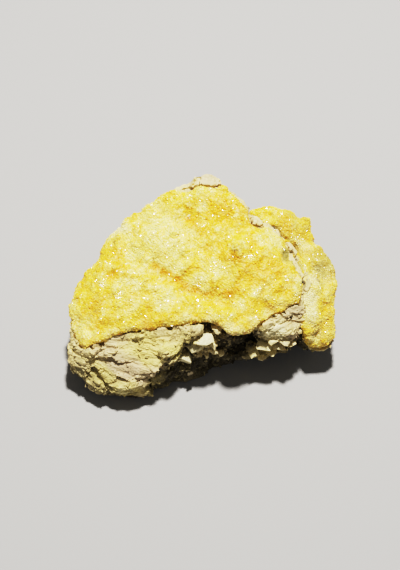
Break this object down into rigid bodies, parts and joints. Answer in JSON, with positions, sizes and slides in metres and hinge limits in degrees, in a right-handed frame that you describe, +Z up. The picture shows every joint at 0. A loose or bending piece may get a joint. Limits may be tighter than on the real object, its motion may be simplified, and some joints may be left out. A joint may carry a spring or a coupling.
{
  "type": "sulfur crystal specimen",
  "caption": "Hand specimen of yellow sulfur crystals grown as a bumpy crust over the tilted top of a lump of pale, layered host rock.",
  "frame": {"origin": "under the middle of the whole box, on the flat base face that the specimen stands on", "axes": "+Z up, +X along the longest extent towards the side crust, -Y towards the low front edge of the main crust"},
  "size_m": [0.0912, 0.069, 0.0421],
  "materials": {
    "host_rock": "matt, chalky and broken, with lilac-grey layers and yellow stains",
    "sulfur_crust": "fine bright crystals, resinous lustre, slightly translucent",
    "side_sulfur_crust": "fine bright crystals, resinous lustre, with cream patches"
  },
  "bodies": {
    "root": {"host_rock": "host_rock", "sulfur_crust": "sulfur_crust", "side_sulfur_crust": "side_sulfur_crust"}
  },
  "joints": []
}
